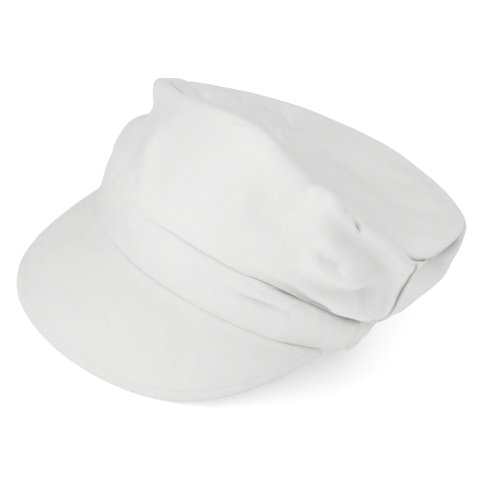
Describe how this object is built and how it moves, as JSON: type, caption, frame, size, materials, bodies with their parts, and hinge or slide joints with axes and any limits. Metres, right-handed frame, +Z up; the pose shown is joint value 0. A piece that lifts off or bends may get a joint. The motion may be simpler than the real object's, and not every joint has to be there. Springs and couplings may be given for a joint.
{
  "type": "soft peaked cloth work cap",
  "caption": "Soft white cloth work cap with a curved peak, a gathered head band, a tall front wall, a lower bagged back and a slack top panel, lying empty on its peak and band.",
  "frame": {"origin": "middle of the cap's overall box, on the surface that it lies on", "axes": "+X towards the wearer's left, +Y towards the back, +Z up from the surface; the cap leans back so that the front edge of the peak and the back of the band touch the surface"},
  "size_m": [0.2052, 0.2796, 0.1376],
  "materials": {
    "crown_cloth": "white plain-woven cotton blend, matt, softly creased",
    "band_cloth": "white plain-woven cotton blend in two layers, matt, gathered at the back",
    "peak_cloth": "white plain-woven cotton blend drawn smooth over a soft stiffener, matt"
  },
  "bodies": {
    "root": {"peak": "peak_cloth", "band_front": "band_cloth", "band_back": "band_cloth", "crown_front": "crown_cloth", "crown_back": "crown_cloth", "crown_top": "crown_cloth"}
  },
  "joints": []
}
